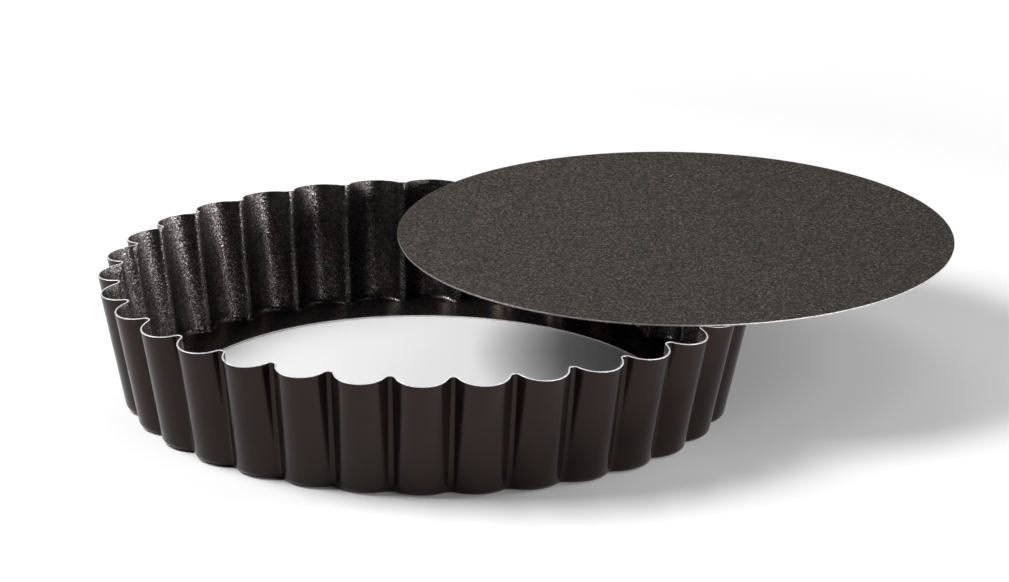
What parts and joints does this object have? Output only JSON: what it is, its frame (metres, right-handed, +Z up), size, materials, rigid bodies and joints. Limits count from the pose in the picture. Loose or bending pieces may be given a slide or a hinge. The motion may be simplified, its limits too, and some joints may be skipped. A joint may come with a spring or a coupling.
{
  "type": "tart pan",
  "caption": "Round deep fluted tart pan in dark coated steel, with a loose flat base that lies across the rim and overhangs it.",
  "frame": {"origin": "bottom centre of the box round the ring and the base as they lie at rest; the ring's axis is at x = -45.35 mm, y = 0", "axes": "+X from the ring's axis towards the middle of the base, which lies across the rim; +Z up"},
  "size_m": [0.3394, 0.2488, 0.0488],
  "materials": {
    "ring_coating": "satin dark brown lacquer outside, grainy non-stick coating inside",
    "base_coating": "matt dark brown non-stick coating with a fine grain"
  },
  "bodies": {
    "ring": {"fluted_ring": "ring_coating"},
    "base": {"loose_base": "base_coating"}
  },
  "joints": [
    {"name": "base_lift", "type": "slide", "parent": "ring", "child": "base", "axis": [0, 0, 1], "range_m": [0, 0.06]}
  ]
}
